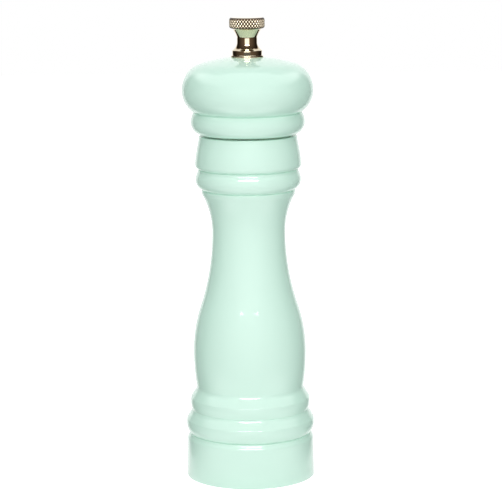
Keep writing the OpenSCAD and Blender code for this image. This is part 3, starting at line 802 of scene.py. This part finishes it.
def shaft_outline(sizes):
    """From the journal's end up to the thread's end, with the square bar between them."""
    low, high = bottom("drive_shaft") * MM, top("drive_shaft") * MM
    half, foot = sizes.bar
    root = sizes.journal - sizes.clip_groove
    clip_low = bottom("rotor_clip") * MM
    pitch = sizes.thread_pitch
    ends = soften(
        straight((0, low), (sizes.journal, low), (sizes.journal, clip_low), (root, clip_low),
                 (root, foot)),
        sizes.soft_edge,
    )
    bar = straight((half, foot), (half, sizes.bar_top), square=1)
    bevel = pitch / 2
    thread_low, thread_high = sizes.bar_top, high - bevel
    count = round((thread_high - thread_low) / pitch * PATTERN_ROWS)
    thread = []
    for i in range(count + 1):
        height = thread_low + (thread_high - thread_low) * i / count
        # The thread runs out towards the bar, over one and a half turns
        cut = min(1, (height - thread_low) / (1.5 * pitch))
        thread.append(Row(sizes.thread, height, cut=cut))
    return [
        *ends, *bar, *thread,
        *straight((sizes.thread - bevel, high), (0, high)),
    ]


def turned(name, rows, columns, finish, bare_finish=None, **pattern):
    """A closed piece turned from its outline. A corner of 2 leaves square sections round."""
    mesh = bpy.data.meshes.new(name)
    mesh.from_pydata(
        [(row.radius, 0, row.height) for row in rows],
        [(i, i + 1) for i in range(len(rows) - 1)], [],
    )
    for mark, kind in MARKS.items():
        layer = mesh.attributes.new(mark, kind, "POINT")
        layer.data.foreach_set("value", [getattr(row, mark) for row in rows])
    piece = bpy.data.objects.new(name, mesh)
    bpy.context.collection.objects.link(piece)
    make_plain(piece, "Turned part", {
        "Around": columns, "Finish": finish, "Bare finish": bare_finish or finish, "Corner": 2.0,
        **pattern,
    })
    return piece


# Finishes. Patterns are drawn on Object coordinates, in metres, about the mill's axis.

def new_material(name):
    """An empty material, and its node tree."""
    material = bpy.data.materials.new(name)
    material.use_nodes = True
    material.node_tree.nodes.clear()
    return material, material.node_tree


def pattern_scale(size):
    """Scale of a pattern whose marks are so many millimetres wide."""
    return 1 / (size * MM)


def lacquer():
    """Gloss nitrocellulose lacquer, sprayed and rubbed down on turned maple: an even pastel under
    a clear, mirror-like top coat that keeps a faint orange peel and the lathe's last ripples."""
    colours = bpy.context.scene.mill_finishes
    material, tree = new_material("Gloss lacquer on turned maple")
    place = add(tree, "ShaderNodeTexCoord").outputs["Object"]
    # Where the spray lies thicker, in patches about 30 mm wide, the colour is a little fuller
    patches = add(
        tree, "ShaderNodeTexNoise", {"Vector": place, "Scale": pattern_scale(30.3), "Detail": 2}
    )
    shade = add(
        tree, "ShaderNodeMix",
        {0: patches, 6: (*colours.lacquer, 1), 7: (*colours.lacquer_thick, 1)}, data_type="RGBA",
    )
    # Rubbing leaves patches about 9 mm wide that are a little duller
    rubbed = add(
        tree, "ShaderNodeTexNoise", {"Vector": place, "Scale": pattern_scale(9.09), "Detail": 3}
    )
    roughness = add(tree, "ShaderNodeMapRange", [rubbed, 0.3, 0.7, 0.44, 0.52])
    # Orange peel has cells of 1.25 mm, and the lathe's ripples are about 3 mm apart
    peel = add(
        tree, "ShaderNodeTexNoise", {"Vector": place, "Scale": pattern_scale(1.25), "Detail": 1}
    )
    peel_bump = add(
        tree, "ShaderNodeBump", {"Strength": 1, "Distance": 0.003 * MM, "Height": peel}
    )
    flat = add(tree, "ShaderNodeMapping", {"Vector": place, "Scale": (0.03, 0.03, 1)})
    ripples = add(
        tree, "ShaderNodeTexNoise", {"Vector": flat, "Scale": pattern_scale(3.03), "Detail": 1}
    )
    bump = add(tree, "ShaderNodeBump", {
        "Strength": 1, "Distance": 0.006 * MM, "Height": ripples, "Normal": peel_bump,
    })
    # The colour coat shines little by itself, because the clear coat bends light as much as it does
    shader = add(tree, "ShaderNodeBsdfPrincipled", {
        "Base Color": shade.outputs[2], "Roughness": roughness, "IOR": 1.5,
        "Specular IOR Level": 0.15, "Normal": bump, "Coat Weight": 1, "Coat Roughness": 0.04,
        "Coat IOR": 1.5, "Coat Normal": bump,
    })
    add(tree, "ShaderNodeOutputMaterial", [shader])
    return material


def maple():
    """Bare hard maple, turned and bored: pale and dull, with fine rings, and fibres along Z."""
    colours = bpy.context.scene.mill_finishes
    material, tree = new_material("Bare turned maple")
    place = add(tree, "ShaderNodeTexCoord").outputs["Object"]
    # The tree's pith lies 70 mm to one side, so the rings cross the mill as wide arcs. They are
    # 2.2 mm apart, and the wave node turns by 20 radians a unit
    from_pith = add(tree, "ShaderNodeMapping", {
        "Vector": place, "Location": (70 * MM, 20 * MM, 0), "Scale": (1, 1, 0.06),
    })
    rings = add(tree, "ShaderNodeTexWave", {
        "Vector": from_pith, "Scale": math.tau / (20 * 2.2 * MM), "Distortion": 2.5, "Detail": 2,
        "Detail Scale": 0.6,
    }, wave_type="RINGS", rings_direction="Z", wave_profile="SAW")
    # Fibres are 0.4 mm wide and about 13 mm long
    along = add(tree, "ShaderNodeMapping", {"Vector": place, "Scale": (1, 1, 0.03)})
    fibres = add(
        tree, "ShaderNodeTexNoise", {"Vector": along, "Scale": pattern_scale(0.4), "Detail": 3}
    )
    blend = add(tree, "ShaderNodeMix", {0: 0.45, 2: rings, 3: fibres})
    soft = add(tree, "ShaderNodeMapRange", [blend, 0.25, 0.85, 0, 1])
    shade = add(
        tree, "ShaderNodeMix",
        {0: soft, 6: (*colours.maple, 1), 7: (*colours.maple_late, 1)}, data_type="RGBA",
    )
    roughness = add(tree, "ShaderNodeMapRange", [fibres, 0.3, 0.7, 0.55, 0.7])
    bump = add(tree, "ShaderNodeBump", {"Strength": 1, "Distance": 0.03 * MM, "Height": fibres})
    shader = add(tree, "ShaderNodeBsdfPrincipled", {
        "Base Color": shade.outputs[2], "Roughness": roughness, "IOR": 1.5, "Normal": bump,
    })
    add(tree, "ShaderNodeOutputMaterial", [shader])
    return material


def worked_metal(name, colour, dull, roughness, grain, depth, stretch=(1, 1, 1)):
    """A metal with the marks of its making. The marks are grain millimetres wide and depth deep,
    and longer along an axis whose stretch is under 1. Dull is how strong the worn patches are, and
    the roughness varies between two values."""
    material, tree = new_material(name)
    place = add(tree, "ShaderNodeTexCoord").outputs["Object"]
    stretched = add(tree, "ShaderNodeMapping", {"Vector": place, "Scale": stretch})
    marks = add(tree, "ShaderNodeTexNoise", {
        "Vector": stretched, "Scale": pattern_scale(grain), "Detail": 3,
    })
    # Handling leaves patches 4 mm wide, which at a dull of 1 would be less than half as bright
    patches = add(
        tree, "ShaderNodeTexNoise", {"Vector": place, "Scale": pattern_scale(4), "Detail": 4}
    )
    worn = add(tree, "ShaderNodeMapRange", [patches, 0.35, 0.65, 0, dull])
    dulled = [0.45 * channel for channel in colour]
    shade = add(
        tree, "ShaderNodeMix", {0: worn, 6: (*colour, 1), 7: (*dulled, 1)}, data_type="RGBA"
    )
    mixed = add(tree, "ShaderNodeMix", {0: 0.5, 2: marks, 3: patches})
    rough = add(tree, "ShaderNodeMapRange", [mixed, 0.35, 0.65, *roughness])
    bump = add(tree, "ShaderNodeBump", {"Strength": 1, "Distance": depth * MM, "Height": marks})
    shader = add(tree, "ShaderNodeBsdfPrincipled", {
        "Base Color": shade.outputs[2], "Metallic": 1, "Roughness": rough, "Normal": bump,
    })
    add(tree, "ShaderNodeOutputMaterial", [shader])
    return material, tree, shade, shader, rough


def nickel():
    """Bright nickel plate over turned and knurled brass: warm, and nearly a mirror, with fine lines
    round the axis, and dark brown deep in the knurl's grooves."""
    nut, colours = bpy.context.scene.mill_nut, bpy.context.scene.mill_finishes
    material, tree, shade, shader, rough = worked_metal(
        "Bright nickel plate", colours.nickel, dull=0.12, roughness=(0.3, 0.38), grain=0.12,
        depth=0.0005, stretch=(0.01, 0.01, 1),
    )
    place = add(tree, "ShaderNodeTexCoord").outputs["Object"]
    axes = add(tree, "ShaderNodeSeparateXYZ", [place]).outputs
    flat = add(tree, "ShaderNodeCombineXYZ", {"X": axes["X"], "Y": axes["Y"]})
    radius = add(tree, "ShaderNodeVectorMath", [flat], operation="LENGTH").outputs["Value"]
    # The knurl's grooves are coloured dark brown from half their depth down, fading out before the points
    deep = add(tree, "ShaderNodeMapRange", [
        radius, nut.grip[0] - 0.5 * nut.knurl_depth, nut.grip[0] - 0.1 * nut.knurl_depth, 0.98, 0,
    ])
    # The grip is what lies over its lower edge, but for its flat top
    low = add(tree, "ShaderNodeMath", [axes["Z"], nut.grip[1]], operation="GREATER_THAN")
    high = add(
        tree, "ShaderNodeMath", [axes["Z"], top("thumb_nut") * MM - 0.1 * MM], operation="LESS_THAN"
    )
    grip = add(tree, "ShaderNodeMath", [low, high], operation="MULTIPLY")
    # Where the knurl's grooves are coloured dark brown
    groove_dark = add(tree, "ShaderNodeMath", [deep, grip], operation="MULTIPLY")
    browned = add(
        tree, "ShaderNodeMix",
        {0: groove_dark, 6: shade.outputs[2], 7: (*colours.groove_dark, 1)}, data_type="RGBA",
    )
    tree.links.new(browned.outputs[2], shader.inputs["Base Color"])
    # Only the knurled grip is dull at all
    satin = add(tree, "ShaderNodeMath", [rough, grip], operation="MULTIPLY")
    tree.links.new(satin.outputs[0], shader.inputs["Roughness"])
    return material


def zinc():
    """Bright zinc plate on pressed steel and on screws: pale grey, with soft cloudy reflections."""
    colour = bpy.context.scene.mill_finishes.zinc
    return worked_metal(
        "Bright zinc plate", colour, dull=0.25, roughness=(0.24, 0.4), grain=0.35, depth=0.002,
    )[0]


def burr_steel():
    """Case-hardened steel, left black from the quench: dark and blotchy, with a fine grit."""
    colour = bpy.context.scene.mill_finishes.burr
    return worked_metal(
        "Hardened burr steel", colour, dull=0.5, roughness=(0.36, 0.55), grain=0.25, depth=0.008,
    )[0]


def spring_steel():
    """Hard-drawn spring wire: grey and half bright."""
    colour = bpy.context.scene.mill_finishes.spring
    return worked_metal(
        "Drawn spring wire", colour, dull=0.3, roughness=(0.2, 0.34), grain=0.2, depth=0.001,
        stretch=(1, 1, 0.3),
    )[0]


def aluminium():
    """Drawn aluminium bar: silvery, with the die's long fine scratches along Z."""
    colour = bpy.context.scene.mill_finishes.aluminium
    return worked_metal(
        "Drawn aluminium", colour, dull=0.12, roughness=(0.26, 0.42), grain=0.2, depth=0.002,
        stretch=(1, 1, 0.01),
    )[0]


def brass():
    """Free-cutting brass, turned and left bare: yellow, with the tool's lines round the axis."""
    colour = bpy.context.scene.mill_finishes.brass
    return worked_metal(
        "Turned brass", colour, dull=0.2, roughness=(0.2, 0.32), grain=0.15, depth=0.001,
        stretch=(0.01, 0.01, 1),
    )[0]


FINISHES = {}


def finish(make):
    """The material that a function makes, made once."""
    if make not in FINISHES:
        FINISHES[make] = make()
    return FINISHES[make]


# Operators

def mount(piece, body, node):
    """Makes a piece stand for a CAD node, on that node's body."""
    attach(piece, body)
    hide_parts(node)


class MakeBody(bpy.types.Operator):
    """Turn the body and lacquer it"""

    bl_idname = "pepper_mill.make_body"
    bl_label = "Make body"

    def execute(self, context):
        rows = body_outline(context.scene.mill_body)
        body = turned("Mill_body", rows, WOOD_COLUMNS, finish(lacquer), finish(maple))
        mount(body, "body", "mill_body")
        return {"FINISHED"}


class MakeHead(bpy.types.Operator):
    """Turn the head and lacquer it"""

    bl_idname = "pepper_mill.make_head"
    bl_label = "Make head"

    def execute(self, context):
        rows = head_outline(context.scene.mill_head)
        head = turned("Head", rows, WOOD_COLUMNS, finish(lacquer), finish(maple))
        mount(head, "head", "head")
        return {"FINISHED"}


class MakeNut(bpy.types.Operator):
    """Turn and knurl the thumb nut, and make its washer"""

    bl_idname = "pepper_mill.make_nut"
    bl_label = "Make nut"

    def execute(self, context):
        sizes = context.scene.mill_nut
        nut = turned(
            "Thumb_nut", nut_outline(sizes), PATTERN_ROWS * sizes.knurl_count, finish(nickel),
            **{
                "Starts": sizes.knurl_count, "Turns per metre": 1 / sizes.knurl_height,
                "Crossed": 1.0, "Depth": sizes.knurl_depth, "Land": 0.35,
            },
        )
        mount(nut, "nut", "thumb_nut")
        washer = turned("Nut_washer", washer_outline(sizes), WASHER_COLUMNS, finish(nickel))
        mount(washer, "washer", "nut_washer")
        return {"FINISHED"}


class MakeShaft(bpy.types.Operator):
    """Make the drive shaft, with its square bar and its thread"""

    bl_idname = "pepper_mill.make_shaft"
    bl_label = "Make shaft"

    def execute(self, context):
        sizes = context.scene.mill_shaft
        shaft = turned(
            "Drive_shaft", shaft_outline(sizes), SHAFT_COLUMNS, finish(aluminium),
            **{
                "Starts": 1, "Turns per metre": 1 / sizes.thread_pitch,
                "Depth": sizes.thread_depth, "Land": 0.1, "Corner": sizes.bar_corner,
            },
        )
        mount(shaft, "shaft", "drive_shaft")
        return {"FINISHED"}


class MakeSpring(bpy.types.Operator):
    """Wind the spring between the rotor and the bush"""

    bl_idname = "pepper_mill.make_spring"
    bl_label = "Make spring"

    def execute(self, context):
        sizes = context.scene.mill_shaft
        low, high = top("rotor") * MM, bottom("guide_bush") * MM
        mesh = bpy.data.meshes.new("Spring")
        spring = bpy.data.objects.new("Spring", mesh)
        context.collection.objects.link(spring)
        make_plain(spring, "Coil spring", {
            "Low": low, "High": high, "Coil": sizes.coil, "Wire": sizes.wire,
            "Turns": sizes.turns, "Closed turns": sizes.closed_turns, "Turn steps": SPRING_STEPS,
            "Wire sides": WIRE_SIDES, "Finish": finish(spring_steel),
        })
        # Its upper end stays under the bush, and its lower end moves with the shaft
        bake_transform(spring, "bush", "shaft", start=(0, 0, high), end=(0, 0, low))
        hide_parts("spring")
        return {"FINISHED"}


class FinishHardware(bpy.types.Operator):
    """Give the burr and the small metal parts their finishes"""

    bl_idname = "pepper_mill.finish_hardware"
    bl_label = "Finish hardware"

    def execute(self, context):
        finishes = {
            "stator": burr_steel, "rotor": burr_steel, "shaft_guide": zinc,
            "retaining_bar": zinc, "retaining_bar_screws": zinc, "rotor_clip": spring_steel,
            "drive_plate": zinc, "drive_plate_screws": zinc, "guide_bush": brass,
        }
        for node, make in finishes.items():
            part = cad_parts[node]
            part.data.materials.clear()
            part.data.materials.append(finish(make))
        return {"FINISHED"}


class MakeStage(bpy.types.Operator):
    """Set up the floor, the lamps, the background and the camera"""

    bl_idname = "pepper_mill.make_stage"
    bl_label = "Make stage"

    def execute(self, context):
        settings = context.scene.mill_stage
        make_floor(settings)
        light_world(settings)
        hang_lamps(settings)
        place_camera(settings)
        context.scene.view_settings.view_transform = "Standard"
        return {"FINISHED"}


# Stage. Directions in a reflection are unit vectors, so the bounds below are sines and cosines.

def mirrored_light(tree, direction, settings, path, glare):
    """What reflections show in a direction: a strip of white backdrop that rises behind the mill
    and ends over it, a soft panel round the camera, the lit table in front of the mill, a pale
    ceiling, and a dim room at both sides. Bright plating, which has no roughness at all, would
    show all those as flat white. Flags keep them off it, and it shows a window ahead and a dim
    brown room instead. Glare is the brightness ahead of it. Returns a brightness and a colour."""
    axes = add(tree, "ShaderNodeSeparateXYZ", [direction]).outputs

    def ramp(field, start, end, low=0, high=1):
        """A soft step from low to high, as a field goes from start to end."""
        return add(
            tree, "ShaderNodeMapRange", [field, start, end, low, high],
            interpolation_type="SMOOTHSTEP",
        )

    aside = add(tree, "ShaderNodeMath", [axes["X"]], operation="ABSOLUTE")
    # The backdrop's sides lie 29 to 41 degrees out
    strip = ramp(aside, 0.66, 0.48)
    # The backdrop ends 5 degrees behind the point right over the mill
    past_top = add(
        tree, "ShaderNodeVectorMath", [direction, (0, 1, -0.09)], operation="DOT_PRODUCT"
    ).outputs["Value"]
    backdrop = add(
        tree, "ShaderNodeMath", [strip, ramp(past_top, -0.05, 0.1)], operation="MULTIPLY"
    )
    ahead = add(
        tree, "ShaderNodeVectorMath", [direction, (0, -1, 0)], operation="DOT_PRODUCT"
    ).outputs["Value"]
    panel = add(tree, "ShaderNodeMapRange", [ahead, -0.3, 1, settings.room, settings.panel])
    table = ramp(ahead, -0.25, 0.55, settings.room, settings.table)
    # The table's edge is 22 to 31 degrees down, and the ceiling's 20 to 37 degrees up
    level = add(tree, "ShaderNodeMix", {0: ramp(axes["Z"], -0.38, -0.52), 2: panel, 3: table})
    level = add(
        tree, "ShaderNodeMix", {0: ramp(axes["Z"], 0.35, 0.6), 2: level, 3: settings.ceiling}
    )
    # The window ahead is round, and fades out 18 to 31 degrees from its middle
    window = ramp(ahead, 0.86, 0.95)
    dim = add(tree, "ShaderNodeMapRange", [ahead, -0.3, 0.9, 0.02, settings.dim_room])
    seen = add(tree, "ShaderNodeMix", {0: window, 2: dim, 3: glare})
    plated = path["Is Singular Ray"]
    level = add(tree, "ShaderNodeMix", {0: plated, 2: level, 3: seen})
    lit = add(tree, "ShaderNodeMath", [window, backdrop], operation="MAXIMUM")
    brown = add(tree, "ShaderNodeMix", {0: lit, 2: plated, 3: 0})
    colour = add(
        tree, "ShaderNodeMix",
        {0: brown, 6: (1, 1, 1, 1), 7: (*settings.brown, 1)}, data_type="RGBA",
    )
    level = add(tree, "ShaderNodeMix", {0: backdrop, 2: level, 3: settings.backdrop})
    return level, colour.outputs[2]


def make_floor(settings):
    """A white floor. From 30 to 300 mm from the mill's axis it gets brighter for the camera, and it
    keeps the mill's soft shadow. Reflections show it as part of the studio."""
    half = settings.floor / 2
    mesh = bpy.data.meshes.new("Floor")
    mesh.from_pydata(
        [(-half, -half, 0), (half, -half, 0), (half, half, 0), (-half, half, 0)], [], [(0, 1, 2, 3)]
    )
    floor = bpy.data.objects.new("Floor", mesh)
    bpy.context.collection.objects.link(floor)
    material, tree = new_material("Matt white paper")
    place = add(tree, "ShaderNodeTexCoord").outputs["Object"]
    away = add(tree, "ShaderNodeVectorMath", [place], operation="LENGTH").outputs["Value"]
    glow = add(tree, "ShaderNodeMapRange", [away, 30 * MM, 300 * MM, 0.45, 1])
    path = add(tree, "ShaderNodeLightPath").outputs
    glow = add(tree, "ShaderNodeMath", [glow, path["Is Camera Ray"]], operation="MULTIPLY")
    paper = add(tree, "ShaderNodeBsdfDiffuse", {"Color": (*settings.paper, 1)})
    light = add(tree, "ShaderNodeEmission", {"Strength": glow})
    paper = add(tree, "ShaderNodeAddShader", [paper, light])
    # Directions are taken from 80 mm up the mill's axis
    seen = add(tree, "ShaderNodeVectorMath", [place, (0, 0, 80 * MM)], operation="SUBTRACT")
    direction = add(tree, "ShaderNodeVectorMath", [seen], operation="NORMALIZE")
    brightness, colour = mirrored_light(tree, direction, settings, path, settings.dim_room)
    mirrored = add(tree, "ShaderNodeEmission", {"Color": colour, "Strength": brightness})
    shiny = add(
        tree, "ShaderNodeMath", [path["Is Glossy Ray"], path["Is Transmission Ray"]],
        operation="ADD", use_clamp=True,
    )
    shown = add(tree, "ShaderNodeMixShader", [shiny, paper, mirrored])
    add(tree, "ShaderNodeOutputMaterial", [shown])
    mesh.materials.append(material)


def light_world(settings):
    """A white background and even light from all round."""
    world = bpy.data.worlds.new("White studio")
    bpy.context.scene.world = world
    world.use_nodes = True
    tree = world.node_tree
    tree.nodes.clear()
    path = add(tree, "ShaderNodeLightPath").outputs
    direction = add(tree, "ShaderNodeTexCoord").outputs["Generated"]
    shiny = add(
        tree, "ShaderNodeMath", [path["Is Glossy Ray"], path["Is Transmission Ray"]],
        operation="ADD", use_clamp=True,
    )
    mirrored, colour = mirrored_light(tree, direction, settings, path, settings.window)
    level = add(tree, "ShaderNodeMix", {0: shiny, 2: settings.ambient, 3: mirrored})
    shown = add(tree, "ShaderNodeMix", {0: path["Is Camera Ray"], 2: level, 3: 1})
    light = add(tree, "ShaderNodeBackground", {"Color": colour, "Strength": shown})
    add(tree, "ShaderNodeOutputWorld", [light])


def hang_lamps(settings):
    """Two big soft lamps that reflections don't show, and a small soft box that only they show."""
    aim = Vector((0, 0, 0.1))
    # Each lamp hangs in front: its brightness, elevation and distance, and its width and height
    lamps = {
        "High lamp": (settings.high, 60, 1.3, 1, 0.8),
        "Front lamp": (settings.front, 38, 1.3, 1, 0.5),
        "Soft box": (settings.key, 31.5, 2, 1.46, 0.46),
    }
    for name, (radiance, elevation, distance, width, height) in lamps.items():
        lamp = bpy.data.lights.new(name, "AREA")
        lamp.shape = "RECTANGLE"
        lamp.size, lamp.size_y = width, height
        # The power that makes the lamp's face as bright as that
        lamp.energy = radiance * math.pi * width * height
        holder = bpy.data.objects.new(name, lamp)
        bpy.context.collection.objects.link(holder)
        up = math.radians(elevation)
        away = Vector((0, -math.cos(up), math.sin(up)))
        turn = away.to_track_quat("Z", "Y").to_matrix().to_4x4()
        holder.matrix_world = Matrix.Translation(aim + distance * away) @ turn
        holder.visible_camera = False
        if name == "Soft box":
            # A flag keeps the small soft box off the head, whose dome would show it as a bar
            holder.visible_diffuse = False
            shaded = bpy.data.collections.new("Lit by the soft box")
            holder.light_linking.receiver_collection = shaded
            shaded.objects.link(bpy.data.objects["Head"])
            shaded.collection_objects[0].light_linking.link_state = "EXCLUDE"
        else:
            holder.visible_glossy = False


def place_camera(settings):
    """A long lens in front of the mill and a little over it, looking slightly down."""
    lens = bpy.data.cameras.new("Camera")
    lens.lens, lens.sensor_width = settings.lens, 36
    camera = bpy.data.objects.new("Camera", lens)
    bpy.context.collection.objects.link(camera)
    camera.matrix_world = (
        Matrix.Translation((settings.aside, -settings.distance, settings.height))
        @ Matrix.Rotation(math.pi / 2 - settings.tilt, 4, "X")
        @ Matrix.Rotation(-settings.roll, 4, "Z")
    )
    bpy.context.scene.camera = camera


OPERATORS = (MakeBody, MakeHead, MakeNut, MakeShaft, MakeSpring, FinishHardware, MakeStage)


class MillPanel(bpy.types.Panel):
    """Steps and sizes of the pepper mill"""

    bl_idname = "VIEW3D_PT_pepper_mill"
    bl_label = "Pepper Mill"
    bl_space_type = "VIEW_3D"
    bl_region_type = "UI"
    bl_category = "Pepper Mill"

    def draw(self, context):
        for step in OPERATORS:
            self.layout.operator(step.bl_idname)
        for name in GROUPS:
            box = self.layout.box()
            box.label(text=name.replace("_", " ").capitalize())
            group = getattr(context.scene, name)
            for field in type(group).__annotations__:
                box.prop(group, field)


CLASSES = (*GROUPS.values(), *OPERATORS, MillPanel)


def register():
    for kind in CLASSES:
        bpy.utils.register_class(kind)
    for name, kind in GROUPS.items():
        setattr(bpy.types.Scene, name, PointerProperty(type=kind))


def unregister():
    for name in GROUPS:
        delattr(bpy.types.Scene, name)
    for kind in reversed(CLASSES):
        bpy.utils.unregister_class(kind)


def main():
    """Builds the mill and its stage."""
    register()
    bpy.ops.pepper_mill.make_body()
    bpy.ops.pepper_mill.make_head()
    bpy.ops.pepper_mill.make_nut()
    bpy.ops.pepper_mill.make_shaft()
    bpy.ops.pepper_mill.make_spring()
    bpy.ops.pepper_mill.finish_hardware()
    bpy.ops.pepper_mill.make_stage()


if __name__ == "__main__":
    main()
